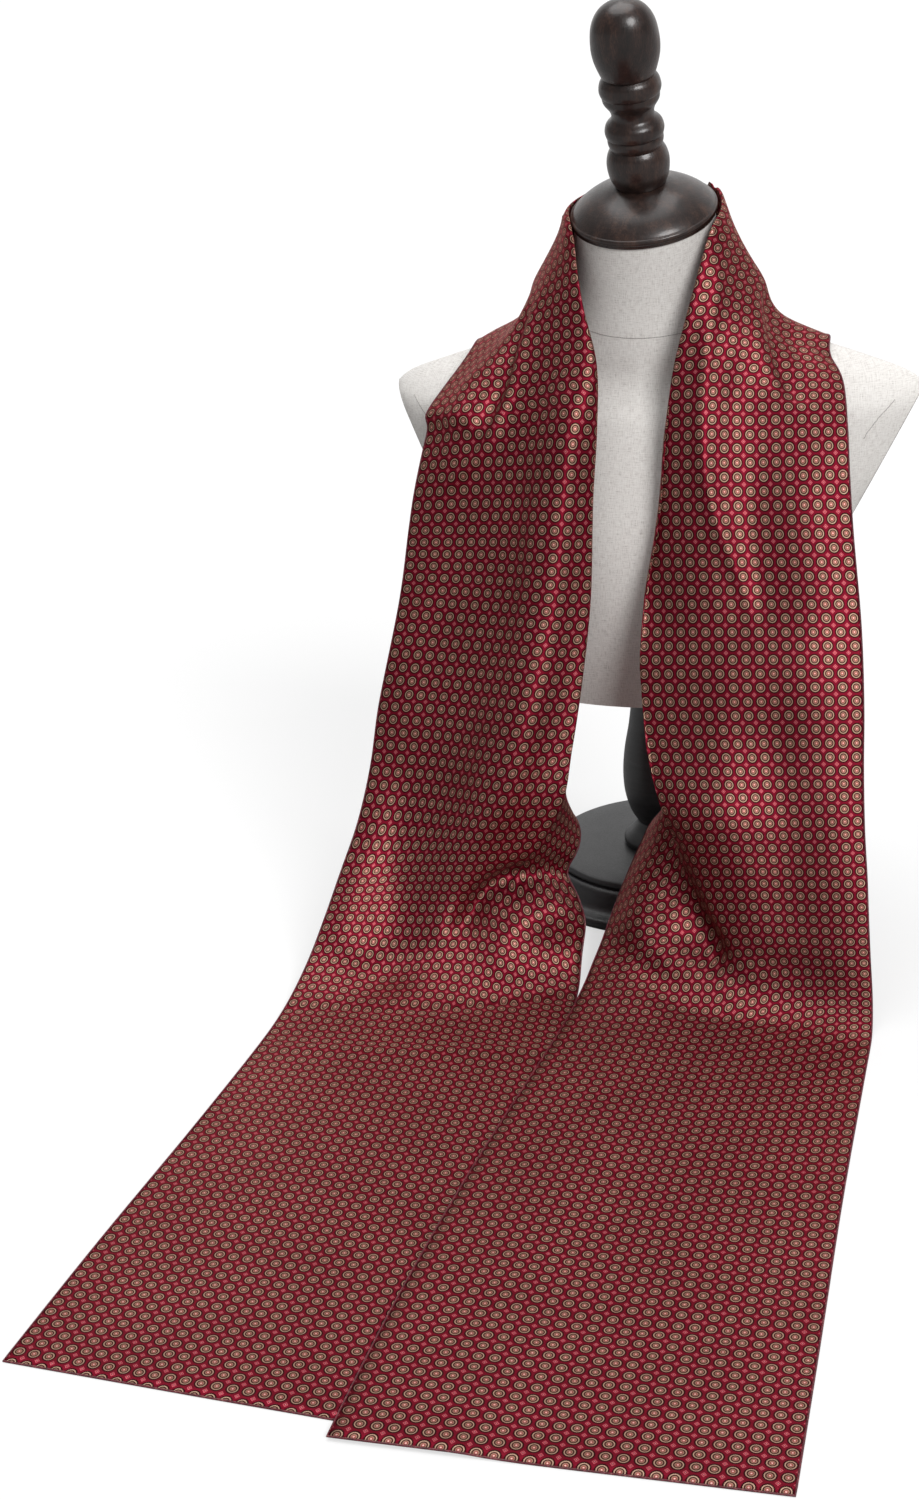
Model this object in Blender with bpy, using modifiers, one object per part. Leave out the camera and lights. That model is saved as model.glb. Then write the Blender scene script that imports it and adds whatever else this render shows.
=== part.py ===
"""A long silk scarf hung round the neck of a limbless table dress form.

The scarf is one rectangle of cloth, folded lengthwise round the neck, that
hangs down the chest as two panels. Each panel opens out below the chest and
lies flat on the surface in front of the stand. Metres, +Z up, the form faces
-Y, and the origin is the middle of the stand's flat underside.
"""
import math

import bmesh
import bpy
import numpy as np
from mathutils import Euler, Vector
from mathutils.bvhtree import BVHTree

# Driving sizes of the cloth: its wall, the step between its two layers, how far the middle
# of its wall keeps off the form, and how its edge opens where the fold lets go
CLOTH = 0.0012
LAYER_STEP = 0.0036
OFF_FORM = 0.0013
SEAM_GAP = 0.0004
TOUCH_GAP = 0.0003
FOLD_EASE = 0.0027
EDGE_PULL = 0.02
SLOPE_REACH = 0.25

# Driving sizes of the form and its stand
BASE_HEIGHT = 0.036
NECK_TILT = math.radians(18.0)
NECK_LEAN = math.radians(-1.2)
NECK_TOP = Vector((-0.001, -0.0195, 0.597))
SHOULDER_PLATE = Vector((0.196, 0.0, 0.405))
SHOULDER_PLATE_LEAN = math.radians(28.0)

# Grid of the modelled cloth: strips across the outer layer and the turned-under layer
OUTER_STRIPS = 8
UNDER_STRIPS = 6

# Turned profiles, from the top down: (radius, height above the piece's own foot)
BASE_PROFILE = [
    (0.0, 0.036), (0.0975, 0.036), (0.1005, 0.0345), (0.1010, 0.0310), (0.0985, 0.0300),
    (0.0985, 0.0285), (0.1040, 0.0265), (0.1080, 0.0180), (0.1130, 0.0110), (0.1215, 0.0080),
    (0.1240, 0.0060), (0.1240, 0.0015), (0.1225, 0.0), (0.0, 0.0)]
POLE_PROFILE = [
    (0.0, 0.1664), (0.0240, 0.1664), (0.0250, 0.1450), (0.0285, 0.1150), (0.0330, 0.0900),
    (0.0348, 0.0680), (0.0335, 0.0490), (0.0290, 0.0330), (0.0238, 0.0235), (0.0228, 0.0205),
    (0.0265, 0.0150), (0.0325, 0.0090), (0.0352, 0.0050), (0.0345, 0.0), (0.0, 0.0)]
CAP_PROFILE = [
    (0.0, 0.0290), (0.0205, 0.0290), (0.0260, 0.0265), (0.0390, 0.0215), (0.0500, 0.0150),
    (0.0570, 0.0090), (0.0600, 0.0050), (0.0598, 0.0035), (0.0585, 0.0025), (0.0585, 0.0),
    (0.0, 0.0)]
FINIAL_PROFILE = [
    (0.0, 0.1500), (0.0110, 0.1478), (0.0195, 0.1420), (0.0250, 0.1320), (0.0270, 0.1180),
    (0.0262, 0.1060), (0.0225, 0.0940), (0.0205, 0.0895), (0.0235, 0.0850), (0.0247, 0.0800),
    (0.0232, 0.0755), (0.0222, 0.0735), (0.0222, 0.0700), (0.0180, 0.0635), (0.0168, 0.0590),
    (0.0180, 0.0555), (0.0228, 0.0510), (0.0236, 0.0440), (0.0218, 0.0405), (0.0222, 0.0360),
    (0.0205, 0.0310), (0.0240, 0.0260), (0.0252, 0.0170), (0.0238, 0.0080), (0.0205, 0.0),
    (0.0, 0.0)]

# Bust rings: (height, centre y, half width, half depth, squareness, forward tilt in degrees)
BUST_RINGS = [
    (0.203, -0.005, 0.130, 0.099, 2.30, 0.0), (0.250, -0.005, 0.141, 0.107, 2.30, 0.0),
    (0.300, -0.005, 0.152, 0.112, 2.30, 0.0), (0.345, -0.003, 0.172, 0.112, 2.15, 0.0),
    (0.385, 0.000, 0.200, 0.107, 1.95, 0.0), (0.418, 0.001, 0.218, 0.099, 1.75, 0.0),
    (0.442, 0.002, 0.227, 0.091, 1.65, 0.0), (0.456, 0.003, 0.224, 0.083, 1.55, 1.0),
    (0.467, 0.003, 0.209, 0.077, 1.45, 2.0), (0.478, 0.002, 0.178, 0.073, 1.45, 4.0),
    (0.489, -0.001, 0.144, 0.069, 1.50, 6.0), (0.503, -0.004, 0.108, 0.066, 1.70, 9.0),
    (0.522, -0.007, 0.077, 0.063, 1.90, 12.0), (0.548, -0.010, 0.064, 0.060, 2.00, 15.0),
    (0.575, -0.015, 0.059, 0.058, 2.00, 17.0), (0.597, -0.0195, 0.0575, 0.0575, 2.00, 18.0)]

# Sections of the scarf, from the nape to an end. Each row names the place of the fold,
# of the outer hem and, once the cloth has opened out, of the inner hem (None while it
# is turned under), how far the outer layer and the inner layer bow out, and how far
# the cloth is still folded shut, from 1 to 0.
NAPE = ("nape", (0.0, 0.049, 0.615), (0.0, 0.083, 0.479), None, -0.009, 0.0, 1.0)
RIGHT_SECTIONS = [
    NAPE,
    ("neck back", (0.046, 0.030, 0.612), (0.094, 0.063, 0.480), None, -0.010, 0.0, 1.0),
    ("neck side", (0.064, -0.016, 0.604), (0.138, 0.022, 0.488), None, -0.008, 0.0, 1.0),
    ("neck front", (0.059, -0.052, 0.586), (0.147, -0.016, 0.485), None, -0.008, 0.0, 1.0),
    ("collar line", (0.050, -0.080, 0.544), (0.163, -0.052, 0.472), None, -0.006, 0.0, 1.0),
    ("shoulder", (0.038, -0.098, 0.493), (0.171, -0.086, 0.444), None, 0.002, 0.0, 1.0),
    ("upper chest", (0.029, -0.115, 0.444), (0.176, -0.110, 0.405), None, 0.006, 0.0, 1.0),
    ("chest", (0.024, -0.126, 0.390), (0.181, -0.127, 0.365), None, 0.008, 0.0, 1.0),
    ("lower chest", (0.014, -0.143, 0.311), (0.190, -0.148, 0.298), None, 0.009, 0.0, 1.0),
    ("bust hem", (0.018, -0.165, 0.243), (0.195, -0.168, 0.239), (0.130, -0.155, 0.245),
     0.010, 0.0, 0.9),
    ("opening", (0.023, -0.182, 0.193), (0.197, -0.183, 0.190), (0.080, -0.135, 0.180),
     0.010, -0.004, 0.3),
    ("flap shows", (0.035, -0.193, 0.152), (0.200, -0.198, 0.145), (0.019, -0.115, 0.113),
     0.011, -0.004, 0.0),
    ("flap swings", (0.044, -0.190, 0.123), (0.204, -0.212, 0.108), (0.004, -0.120, 0.086),
     0.012, 0.002, 0.0),
    ("over the base", (0.054, -0.190, 0.092), (0.207, -0.226, 0.076), (-0.010, -0.135, 0.052),
     0.013, 0.008, 0.0),
    ("nearing the table", (0.062, -0.197, 0.064), (0.210, -0.238, 0.047),
     (-0.018, -0.170, 0.026), 0.014, 0.012, 0.0),
    ("valley foot", (0.071, -0.212, 0.036), (0.213, -0.250, 0.020), (-0.022, -0.204, 0.012),
     0.010, 0.010, 0.0),
    ("landing", (0.088, -0.250, 0.010), (0.215, -0.275, 0.001), (-0.024, -0.244, 0.005),
     0.004, 0.004, 0.0),
    ("flat", (0.096, -0.320, 0.0), (0.216, -0.335, 0.0), (-0.029, -0.330, 0.0), 0.0, 0.0, 0.0),
    ("lying", (0.098, -0.500, 0.0), (0.219, -0.505, 0.0), (-0.043, -0.505, 0.0), 0.0, 0.0, 0.0),
    ("near the end", (0.100, -0.670, 0.0), (0.224, -0.667, 0.0), (-0.051, -0.672, 0.0),
     0.0, 0.0, 0.0),
    ("end", (0.102, -0.816, 0.0), (0.228, -0.813, 0.0), (-0.052, -0.819, 0.0), 0.0, 0.0, 0.0)]
LEFT_SECTIONS = [
    NAPE,
    ("neck back", (-0.046, 0.030, 0.612), (-0.094, 0.063, 0.480), None, -0.010, 0.0, 1.0),
    ("neck side", (-0.064, -0.016, 0.604), (-0.145, 0.022, 0.487), None, -0.007, 0.0, 1.0),
    ("neck front", (-0.055, -0.052, 0.592), (-0.152, -0.014, 0.484), None, -0.007, 0.0, 1.0),
    ("collar line", (-0.045, -0.080, 0.549), (-0.170, -0.050, 0.459), None, -0.004, 0.0, 1.0),
    ("shoulder", (-0.032, -0.098, 0.496), (-0.1745, -0.075, 0.4395), None, 0.003, 0.0, 1.0),
    ("upper chest", (-0.028, -0.114, 0.443), (-0.182, -0.098, 0.3965), None, 0.006, 0.0, 1.0),
    ("chest", (-0.030, -0.125, 0.388), (-0.1885, -0.107, 0.3585), None, 0.008, 0.0, 1.0),
    ("lower chest", (-0.031, -0.141, 0.309), (-0.1965, -0.123, 0.297), None, 0.009, 0.0, 1.0),
    ("bust hem", (-0.036, -0.163, 0.239), (-0.2125, -0.1455, 0.215), (-0.150, -0.155, 0.235),
     0.010, 0.0, 0.9),
    ("opening", (-0.040, -0.178, 0.192), (-0.2205, -0.1615, 0.1625), (-0.100, -0.135, 0.182),
     0.010, -0.004, 0.3),
    ("flap shows", (-0.046, -0.189, 0.152), (-0.229, -0.180, 0.117), (-0.049, -0.135, 0.115),
     0.010, -0.004, 0.0),
    ("flap swings", (-0.072, -0.193, 0.105), (-0.2385, -0.204, 0.081), (-0.041, -0.165, 0.086),
     0.010, 0.004, 0.0),
    ("valley foot", (-0.098, -0.203, 0.062), (-0.2475, -0.2265, 0.048), (-0.037, -0.182, 0.038),
     0.008, 0.012, 0.0),
    ("landing", (-0.120, -0.232, 0.022), (-0.256, -0.255, 0.018), (-0.032, -0.208, 0.010),
     0.005, 0.010, 0.0),
    ("flat", (-0.131, -0.285, 0.003), (-0.259, -0.305, 0.003), (-0.028, -0.240, 0.0),
     0.0, 0.0, 0.0),
    ("lying back", (-0.135, -0.355, 0.0), (-0.260, -0.370, 0.0), (-0.017, -0.335, 0.0),
     0.0, 0.0, 0.0),
    ("lying", (-0.138, -0.500, 0.0), (-0.266, -0.500, 0.0), (-0.007, -0.500, 0.0), 0.0, 0.0, 0.0),
    ("near the end", (-0.141, -0.655, 0.0), (-0.275, -0.650, 0.0), (-0.003, -0.662, 0.0),
     0.0, 0.0, 0.0),
    ("end", (-0.142, -0.796, 0.0), (-0.281, -0.7875, 0.0), (-0.001, -0.804, 0.0), 0.0, 0.0, 0.0)]

# Largest folds of the outer layer: (side, first section, share of the way from hem to
# fold there, last section, share there, height out of the cloth, width as a share)
FOLDS = [
    (1, 0.3, 0.30, 5.0, 0.30, -0.012, 0.12),
    (1, 3.2, 0.86, 7.6, 0.68, 0.005, 0.13),
    (1, 8.0, 0.60, 14.0, 0.72, 0.006, 0.20),
    (-1, 0.3, 0.30, 4.4, 0.36, -0.012, 0.12),
    (-1, 2.6, 0.42, 7.0, 0.15, 0.007, 0.13),
    (-1, 4.2, 0.93, 13.0, 0.56, 0.012, 0.16),
    (-1, 9.0, 0.33, 15.0, 0.55, -0.010, 0.22)]

# Stretches of the scarf: (node, side, first section, last section, rows of faces)
NECK_SEAM = 2.45
STRETCHES = [
    ("scarf_right_front", 1, NECK_SEAM, 17.0, 32), ("scarf_right_end", 1, 17.0, 20.0, 8),
    ("scarf_left_front", -1, NECK_SEAM, 16.0, 30), ("scarf_left_end", -1, 16.0, 19.0, 8)]
NECK_ROWS = 16

# The right end lies over the left one, so its inner strip is raised by one wall
OVERLAP_FULL = 0.030
OVERLAP_GONE = 0.055
OVERLAP_RISE = CLOTH + 3 * TOUCH_GAP


def clear_scene():
    """Remove what the scene holds."""
    for item in list(bpy.data.objects):
        bpy.data.objects.remove(item, do_unlink=True)


def new_material(name, colour, roughness, metallic=0.0):
    """One Principled material in the piece's own colour."""
    material = bpy.data.materials.new(name)
    material.use_nodes = True
    shader = material.node_tree.nodes["Principled BSDF"]
    shader.inputs["Base Color"].default_value = (*colour, 1.0)
    shader.inputs["Roughness"].default_value = roughness
    shader.inputs["Metallic"].default_value = metallic
    return material


def add_object(name, mesh, material, collection):
    """Link a mesh as one named object with its material."""
    item = bpy.data.objects.new(name, mesh)
    item.data.materials.append(material)
    collection.objects.link(item)
    return item


def turned_piece(name, profile, sides, foot, turn, material, collection):
    """Turn a profile, listed from the top down, about the piece's own axis."""
    mesh = bpy.data.meshes.new(name)
    points = [(radius, 0.0, height) for radius, height in profile]
    mesh.from_pydata(points, [(i, i + 1) for i in range(len(points) - 1)], [])
    item = add_object(name, mesh, material, collection)
    item.location = foot
    item.rotation_euler = turn
    screw = item.modifiers.new("Turn", "SCREW")
    screw.axis = "Z"
    screw.steps = sides
    screw.render_steps = sides
    screw.use_merge_vertices = True
    screw.merge_threshold = 0.0001
    screw.use_smooth_shade = True
    return item


def catmull_rom(table, at):
    """A smooth row of numbers at a fractional row number of a table."""
    last = len(table) - 1
    index = min(int(math.floor(at)), last - 1)
    part = at - index
    before = table[max(index - 1, 0)]
    start, end = table[index], table[index + 1]
    after = table[min(index + 2, last)]
    slope_start = (end - before) * 0.5
    slope_end = (after - start) * 0.5
    square, cube = part * part, part ** 3
    return ((2 * cube - 3 * square + 1) * start + (cube - 2 * square + part) * slope_start
            + (3 * square - 2 * cube) * end + (cube - square) * slope_end)


def loft_faces(rows, columns, closed):
    """Quads between neighbouring rows of points; a closed row joins its last to its first."""
    faces = []
    for row in range(rows - 1):
        for column in range(columns if closed else columns - 1):
            following = (column + 1) % columns
            here = row * columns
            faces.append((here + column, here + following,
                          here + columns + following, here + columns + column))
    return faces


def bust_ring(ring, sides):
    """Points round one ring of the bust: a rounded oval, tilted forward."""
    height, centre_y, half_width, half_depth, squareness, tilt = ring
    neck_share = math.radians(tilt) / NECK_TILT
    turn = Euler((math.radians(tilt), NECK_LEAN * neck_share, 0.0)).to_matrix()
    centre = Vector((NECK_TOP.x * neck_share, centre_y, height))
    points = []
    for side in range(sides):
        angle = 2.0 * math.pi * side / sides
        cosine, sine = math.cos(angle), math.sin(angle)
        across = math.copysign(abs(cosine) ** (2.0 / squareness), cosine) * half_width
        deep = math.copysign(abs(sine) ** (2.0 / squareness), sine) * half_depth
        points.append(centre + turn @ Vector((across, deep, 0.0)))
    return points


def build_bust(material, collection, sides=44, steps_per_ring=2):
    """Loft the bust through its rings and cut the two flat armhole plates."""
    table = [np.array(ring) for ring in BUST_RINGS]
    steps = (len(table) - 1) * steps_per_ring
    rings = [catmull_rom(table, step / steps_per_ring) for step in range(steps + 1)]
    points = [point for ring in rings for point in bust_ring(ring, sides)]
    faces = loft_faces(len(rings), sides, closed=True)
    faces.append(tuple(reversed(range(sides))))
    faces.append(tuple(range(steps * sides, (steps + 1) * sides)))
    mesh = bpy.data.meshes.new("form_bust")
    mesh.from_pydata(points, [], faces)
    shape = bmesh.new()
    shape.from_mesh(mesh)
    for side in (1.0, -1.0):
        outward = Vector((side * math.cos(SHOULDER_PLATE_LEAN), 0.0,
                          -math.sin(SHOULDER_PLATE_LEAN)))
        middle = Vector((side * SHOULDER_PLATE.x, 0.0, SHOULDER_PLATE.z))
        everything = shape.verts[:] + shape.edges[:] + shape.faces[:]
        bmesh.ops.bisect_plane(shape, geom=everything, plane_co=middle, plane_no=outward,
                               clear_outer=True, dist=0.00002)
        bmesh.ops.holes_fill(shape, edges=[edge for edge in shape.edges if edge.is_boundary])
    bmesh.ops.recalc_face_normals(shape, faces=shape.faces)
    shape.to_mesh(mesh)
    shape.free()
    mesh.shade_smooth()
    mesh.set_sharp_from_angle(angle=math.radians(40.0))
    return add_object("form_bust", mesh, material, collection)


def form_tree(pieces):
    """The surface of the form's pieces, for keeping the cloth off it."""
    graph = bpy.context.evaluated_depsgraph_get()
    points, faces = [], []
    for piece in pieces:
        shape = piece.evaluated_get(graph)
        mesh = shape.to_mesh()
        first = len(points)
        points += [shape.matrix_world @ point.co for point in mesh.vertices]
        faces += [[first + number for number in face.vertices] for face in mesh.polygons]
        shape.to_mesh_clear()
    return BVHTree.FromPolygons(points, faces)


def push_off(tree, point, clearance):
    """Move a point of cloth out until it is clear of the bust."""
    spot, normal, _, _ = tree.find_nearest(Vector(point))
    depth = (Vector(point) - spot).dot(normal)
    if depth >= clearance:
        return point
    return np.array(Vector(point) + normal * (clearance - depth))


def section_table(sections):
    """Turn the named rows into rows of numbers that can be interpolated."""
    table = []
    for _, fold, outer, inner, bow, inner_bow, shut in sections:
        fold, outer = np.array(fold), np.array(outer)
        if inner is None:
            inner = fold + (outer - fold) * UNDER_STRIPS / OUTER_STRIPS
        table.append(np.concatenate([fold, outer, inner, [bow, inner_bow, shut]]))
    return table


def unit(vector):
    """A vector of length one."""
    return vector / np.linalg.norm(vector)


def outward(table, at, side):
    """Which way the cloth's outer face looks at a section."""
    behind = catmull_rom(table, max(at - SLOPE_REACH, 0.0))
    ahead = catmull_rom(table, min(at + SLOPE_REACH, len(table) - 1.0))
    along = (ahead[0:3] + ahead[3:6]) - (behind[0:3] + behind[3:6])
    here = catmull_rom(table, at)
    if at < SLOPE_REACH:
        along = np.array((float(side), 0.0, 0.0))
    return unit(side * np.cross(along, here[3:6] - here[0:3]))


def floor_height(point, side):
    """Lowest middle of the wall: on the surface, or over the left end."""
    if side < 0:
        return CLOTH / 2
    share = (OVERLAP_GONE - point[0]) / (OVERLAP_GONE - OVERLAP_FULL)
    return CLOTH / 2 + OVERLAP_RISE * min(max(share, 0.0), 1.0)


def fold_height(side, at, share):
    """How far the largest folds lift the outer layer at one place."""
    height = 0.0
    for fold_side, first, first_share, last, last_share, rise, width in FOLDS:
        along = (at - first) / (last - first)
        if fold_side == side and 0.0 < along < 1.0:
            middle = first_share + (last_share - first_share) * along
            across = (share - middle) / width
            height += rise * math.sin(math.pi * along) * math.exp(-across * across)
    return height


def section_points(table, at, side, tree):
    """Points across the cloth at one section, from the outer hem to the inner hem."""
    row = catmull_rom(table, at)
    fold, outer, inner = row[0:3], row[3:6], row[6:9]
    bow, inner_bow, shut = row[9], row[10], min(max(row[11], 0.0), 1.0)
    normal = outward(table, at, side)
    layer = []
    for strip in range(OUTER_STRIPS + 1):
        share = strip / OUTER_STRIPS
        rise = bow * 4 * share * (1 - share) + fold_height(side, at, share)
        point = outer + (fold - outer) * share + normal * rise
        layer.append(push_off(tree, point, OFF_FORM + CLOTH / 2 + LAYER_STEP))
    across = unit(fold - outer)
    opened = unit(inner - fold)
    half = LAYER_STEP / 2
    rim = fold + shut * (across * half - normal * half)
    if shut < 1.0:
        layer[-1] = layer[-1] + (1 - shut) * (outer - fold) * EDGE_PULL
    under = []
    for strip in range(UNDER_STRIPS + 1):
        share = strip / UNDER_STRIPS
        closed = layer[OUTER_STRIPS - strip] - normal * LAYER_STEP
        start = fold + opened * FOLD_EASE
        spread = start + (inner - start) * share + normal * inner_bow * 4 * share * (1 - share)
        point = closed * shut + spread * (1 - shut)
        under.append(push_off(tree, point, OFF_FORM + CLOTH / 2))
    points = layer + [push_off(tree, rim, OFF_FORM + CLOTH / 2)] + under
    for point in points:
        point[2] = max(point[2], floor_height(point, side))
    return points


def cloth_piece(name, rows, material, collection):
    """Give rows of points across the cloth their wall."""
    columns = len(rows[0])
    points = [tuple(point) for row in rows for point in row]
    mesh = bpy.data.meshes.new(name)
    mesh.from_pydata(points, [], loft_faces(len(rows), columns, closed=False))
    mesh.shade_smooth()
    item = add_object(name, mesh, material, collection)
    wall = item.modifiers.new("Wall", "SOLIDIFY")
    wall.thickness = CLOTH
    wall.offset = 0.0
    return item


def trim(row, neighbour):
    """Draw a seam row back towards its neighbour, to leave the seam's gap."""
    return [point + unit(inside - point) * SEAM_GAP for point, inside in zip(row, neighbour)]


def build_scarf(form, material, collection):
    """Build each stretch of the scarf: behind the neck, down both fronts, and both ends."""
    tree = form_tree(form)
    tables = {1: section_table(RIGHT_SECTIONS), -1: section_table(LEFT_SECTIONS)}
    neck = []
    for step in range(NECK_ROWS + 1):
        place = NECK_SEAM * (2.0 * step / NECK_ROWS - 1.0)
        side = 1 if place >= 0 else -1
        neck.append(section_points(tables[side], abs(place), side, tree))
    neck[0] = trim(neck[0], neck[1])
    neck[-1] = trim(neck[-1], neck[-2])
    cloth_piece("scarf_neck", neck, material, collection)
    for name, side, first, last, count in STRETCHES:
        rows = []
        for step in range(count + 1):
            place = first + (last - first) * step / count
            rows.append(section_points(tables[side], place, side, tree))
        if last < len(tables[side]) - 1:
            rows[-1] = trim(rows[-1], rows[-2])
        cloth_piece(name, rows, material, collection)


def build():
    """Build the form and the scarf on it."""
    clear_scene()
    collection = bpy.data.collections.new("silk_scarf_on_dress_form")
    bpy.context.scene.collection.children.link(collection)
    silk = new_material("burgundy_silk", (0.20, 0.018, 0.025), 0.38)
    linen = new_material("grey_linen", (0.72, 0.69, 0.65), 0.9)
    wood = new_material("dark_brown_wood", (0.075, 0.035, 0.022), 0.35)
    painted = new_material("black_painted_wood", (0.02, 0.02, 0.022), 0.35)
    level = (0.0, 0.0, 0.0)
    neck_turn = Euler((NECK_TILT, NECK_LEAN, 0.0))
    upright = neck_turn.to_matrix() @ Vector((0.0, 0.0, 1.0))
    cap_foot = NECK_TOP + upright * TOUCH_GAP
    finial_foot = cap_foot + upright * (CAP_PROFILE[0][1] + TOUCH_GAP)
    base = turned_piece("form_base", BASE_PROFILE, 48, level, level, painted, collection)
    pole = turned_piece("form_pole", POLE_PROFILE, 32, (0, 0, BASE_HEIGHT + TOUCH_GAP), level,
                        painted, collection)
    bust = build_bust(linen, collection)
    cap = turned_piece("form_neck_cap", CAP_PROFILE, 40, cap_foot, neck_turn, wood, collection)
    turned_piece("form_finial", FINIAL_PROFILE, 32, finial_foot, neck_turn, wood, collection)
    build_scarf((base, pole, bust, cap), silk, collection)


build()
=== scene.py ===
"""Looks for a printed silk scarf that hangs on a limbless linen dress form.

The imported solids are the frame. The stand, the bust, its wooden cap and finial,
and then the scarf are dressed in the order in which they are put together.
"""
import math

import bmesh
import bpy
import numpy as np
from mathutils import Euler, Matrix, Vector
from mathutils.bvhtree import BVHTree


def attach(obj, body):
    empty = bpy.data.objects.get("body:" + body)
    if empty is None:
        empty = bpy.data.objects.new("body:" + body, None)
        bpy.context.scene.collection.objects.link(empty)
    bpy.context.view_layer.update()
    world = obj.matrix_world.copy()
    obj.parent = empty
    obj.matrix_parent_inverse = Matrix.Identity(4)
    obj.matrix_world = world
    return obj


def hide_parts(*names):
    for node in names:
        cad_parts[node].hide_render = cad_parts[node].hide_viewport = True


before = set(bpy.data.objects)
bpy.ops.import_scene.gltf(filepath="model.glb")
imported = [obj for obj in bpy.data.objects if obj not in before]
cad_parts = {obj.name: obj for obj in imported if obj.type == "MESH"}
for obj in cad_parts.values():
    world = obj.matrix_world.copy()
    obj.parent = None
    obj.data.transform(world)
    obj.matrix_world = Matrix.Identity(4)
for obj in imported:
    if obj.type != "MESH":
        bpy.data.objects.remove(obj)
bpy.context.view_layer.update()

# Stand: a black painted wooden foot. It is turned on a lathe with a groove under its
# top edge and a flared rim, and the paint is brushed on in a satin coat.
LEVEL = (0.0, 0.0, 0.0)
LATHE_SIDES = 128
MERGE_WITHIN = 0.00002
# Each point of a turned outline: radius, height above its foot, and 1 where the corner is sharp
BASE_OUTLINE = [
    (0.0, 0.0360, 0), (0.0972, 0.0360, 1), (0.0992, 0.0355, 0), (0.1004, 0.0343, 0),
    (0.1010, 0.0326, 0), (0.1006, 0.0308, 0), (0.0996, 0.0300, 1), (0.0985, 0.0300, 1),
    (0.0985, 0.0286, 1), (0.1016, 0.0283, 0), (0.1046, 0.0262, 0), (0.1064, 0.0225, 0),
    (0.1080, 0.0180, 0), (0.1100, 0.0140, 0), (0.1134, 0.0108, 0), (0.1185, 0.0090, 1),
    (0.1215, 0.0082, 0), (0.1234, 0.0064, 0), (0.1240, 0.0038, 0), (0.1236, 0.0014, 0),
    (0.1225, 0.0, 1), (0.0, 0.0, 1)]


def smooth_outline(outline, steps=4):
    """Points on a soft curve through an outline, broken at its sharp points."""
    points = [np.array(row[:2]) for row in outline]
    sharp = [row[2] == 1 for row in outline]
    drawn = []
    for index in range(len(points) - 1):
        start, end = points[index], points[index + 1]
        before = start if sharp[index] or index == 0 else points[index - 1]
        after = end if sharp[index + 1] or index + 2 >= len(points) else points[index + 2]
        for step in range(steps):
            part = step / steps
            square, cube = part * part, part ** 3
            drawn.append((2 * cube - 3 * square + 1) * start
                         + (cube - 2 * square + part) * (end - before) / 2
                         + (3 * square - 2 * cube) * end + (cube - square) * (after - start) / 2)
    drawn.append(points[-1])
    return drawn


def finish_piece(item, material, sharp_degrees=35.0):
    """Settle a piece at the origin, smooth its shading and give it its finish."""
    bpy.ops.object.select_all(action="DESELECT")
    item.select_set(True)
    bpy.context.view_layer.objects.active = item
    bpy.ops.object.transform_apply(location=True, rotation=True, scale=True)
    bpy.ops.object.shade_smooth_by_angle(angle=math.radians(sharp_degrees))
    item.data.materials.clear()
    item.data.materials.append(material)
    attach(item, "root")


def turned_piece(name, outline, sides, place, turn):
    """Spin an outline about its own axis, as on a lathe, and set it in its place."""
    drawn = smooth_outline(outline)
    mesh = bpy.data.meshes.new(name)
    mesh.from_pydata([(max(radius, 0.0), 0.0, height) for radius, height in drawn],
                     [(i, i + 1) for i in range(len(drawn) - 1)], [])
    item = bpy.data.objects.new(name, mesh)
    bpy.context.scene.collection.objects.link(item)
    bpy.ops.object.select_all(action="DESELECT")
    item.select_set(True)
    bpy.context.view_layer.objects.active = item
    bpy.ops.object.mode_set(mode="EDIT")
    bpy.ops.mesh.select_all(action="SELECT")
    bpy.ops.mesh.spin(steps=sides, angle=2 * math.pi, center=LEVEL, axis=(0, 0, 1))
    bpy.ops.mesh.select_all(action="SELECT")
    bpy.ops.mesh.remove_doubles(threshold=MERGE_WITHIN)
    bpy.ops.mesh.normals_make_consistent(inside=False)
    bpy.ops.object.mode_set(mode="OBJECT")
    item.location = place
    item.rotation_euler = turn
    return item


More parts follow.
